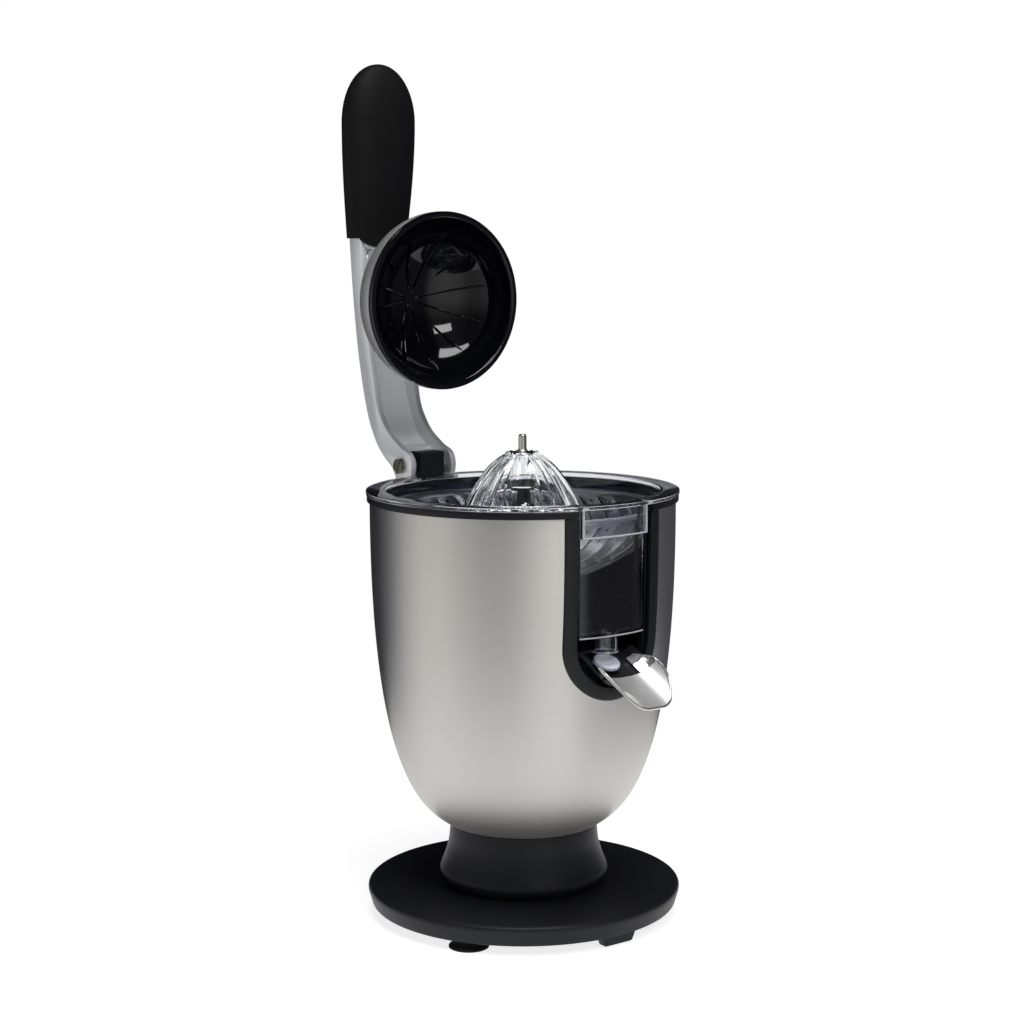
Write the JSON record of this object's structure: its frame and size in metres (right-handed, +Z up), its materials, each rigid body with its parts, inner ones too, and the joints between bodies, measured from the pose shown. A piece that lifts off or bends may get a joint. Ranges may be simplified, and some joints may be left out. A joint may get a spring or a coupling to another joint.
{
  "type": "electric citrus press",
  "caption": "Electric citrus press with a steel bowl, clear juice container, strainer, reamer cone, tilting drip-stop spout and a hinged lever with a press cup.",
  "frame": {"origin": "centre of the bounding box at table level, 22.5 mm behind the bowl's vertical axis", "axes": "+Z up, -Y towards the spout, +Y towards the lever hinge, +X to the right seen from the spout"},
  "size_m": [0.1934, 0.2964, 0.5228],
  "materials": {
    "brushed_steel": "vertical brushed satin",
    "polished_steel": "polished",
    "cast_aluminium": "satin",
    "black_plastic": "satin",
    "gloss_black": "gloss",
    "soft_touch": "soft touch",
    "rubber": "matte",
    "silicone": "satin",
    "clear_plastic": "clear gloss",
    "gear_nylon": "moulded",
    "zinc_steel": "plated"
  },
  "bodies": {
    "housing": {"base_disc": "black_plastic", "base_plate": "black_plastic", "base_screw_1": "zinc_steel", "base_screw_2": "zinc_steel", "base_screw_3": "zinc_steel", "suction_foot_front_left": "rubber", "suction_foot_front_right": "rubber", "suction_foot_rear": "rubber", "cord_gland": "rubber", "neck_collar": "black_plastic", "neck_tube": "zinc_steel", "neck_nut": "zinc_steel", "housing_shell": "brushed_steel", "slot_frame": "black_plastic", "slot_liner": "black_plastic", "top_ring": "black_plastic", "inner_tub": "black_plastic", "spindle_bush": "zinc_steel", "shaft_seal": "rubber", "spout_rod": "zinc_steel", "hinge_block": "black_plastic", "bracket_screw_left": "zinc_steel", "bracket_screw_right": "zinc_steel", "gearbox_case": "black_plastic", "idler_pin": "zinc_steel", "motor_can": "zinc_steel", "motor_end_cap": "black_plastic", "motor_screw_left": "zinc_steel", "motor_screw_right": "zinc_steel", "start_switch": "black_plastic"},
    "motor": {"motor_pinion": "zinc_steel"},
    "idler": {"idler_gear": "gear_nylon"},
    "drive": {"output_gear": "gear_nylon", "press_spring": "zinc_steel"},
    "spindle": {"spindle": "zinc_steel"},
    "cone": {"reamer_cone": "clear_plastic", "reamer_pin": "polished_steel"},
    "container": {"juice_container": "clear_plastic"},
    "sieve": {"strainer": "brushed_steel"},
    "spout": {"spout_trough": "polished_steel", "spout_carrier": "black_plastic", "drip_stop_disc": "silicone"},
    "lever": {"lever_arm": "cast_aluminium", "handle_grip": "soft_touch", "press_cup": "gloss_black", "cup_backing": "cast_aluminium", "cup_screw": "zinc_steel", "hinge_pin": "zinc_steel", "pin_nut": "zinc_steel", "hinge_washer_left": "zinc_steel", "hinge_washer_right": "zinc_steel"}
  },
  "joints": [
    {"name": "lever_pivot", "type": "hinge", "parent": "housing", "child": "lever", "pos_m": [0, 0.085, 0.2668], "axis": [-1, 0, 0], "range_deg": [-79, 0]},
    {"name": "spout_tilt", "type": "hinge", "parent": "housing", "child": "spout", "pos_m": [0, -0.0925, 0.166], "axis": [-1, 0, 0], "range_deg": [0, 25]},
    {"name": "output_spin", "type": "hinge", "parent": "housing", "child": "drive", "pos_m": [0, -0.0225, 0.131], "axis": [0, 0, 1], "continuous": true},
    {"name": "idler_spin", "type": "hinge", "parent": "housing", "child": "idler", "pos_m": [0, 0.015, 0.121], "axis": [0, 0, 1], "continuous": true},
    {"name": "motor_spin", "type": "hinge", "parent": "housing", "child": "motor", "pos_m": [0, -0.0225, 0.121], "axis": [0, 0, 1], "continuous": true},
    {"name": "spindle_press", "type": "slide", "parent": "drive", "child": "spindle", "axis": [0, 0, 1], "range_m": [-0.0025, 0], "stiffness_N_per_m": 1500, "springref_m": 0.003, "deforming": ["press_spring"]},
    {"name": "container_lift", "type": "slide", "parent": "housing", "child": "container", "axis": [0, 0, 1], "range_m": [0, 0.02]},
    {"name": "strainer_lift", "type": "slide", "parent": "container", "child": "sieve", "axis": [0, 0, 1], "range_m": [0, 0.02]},
    {"name": "cone_lift", "type": "slide", "parent": "spindle", "child": "cone", "axis": [0, 0, 1], "range_m": [0, 0.06]}
  ],
  "couplings": [
    {"joint": "idler_spin", "follows": "output_spin", "ratio": -4},
    {"joint": "motor_spin", "follows": "output_spin", "ratio": 16},
    {"joint": "strainer_lift", "follows": "container_lift", "ratio": 1},
    {"joint": "cone_lift", "follows": "container_lift", "ratio": 3}
  ]
}
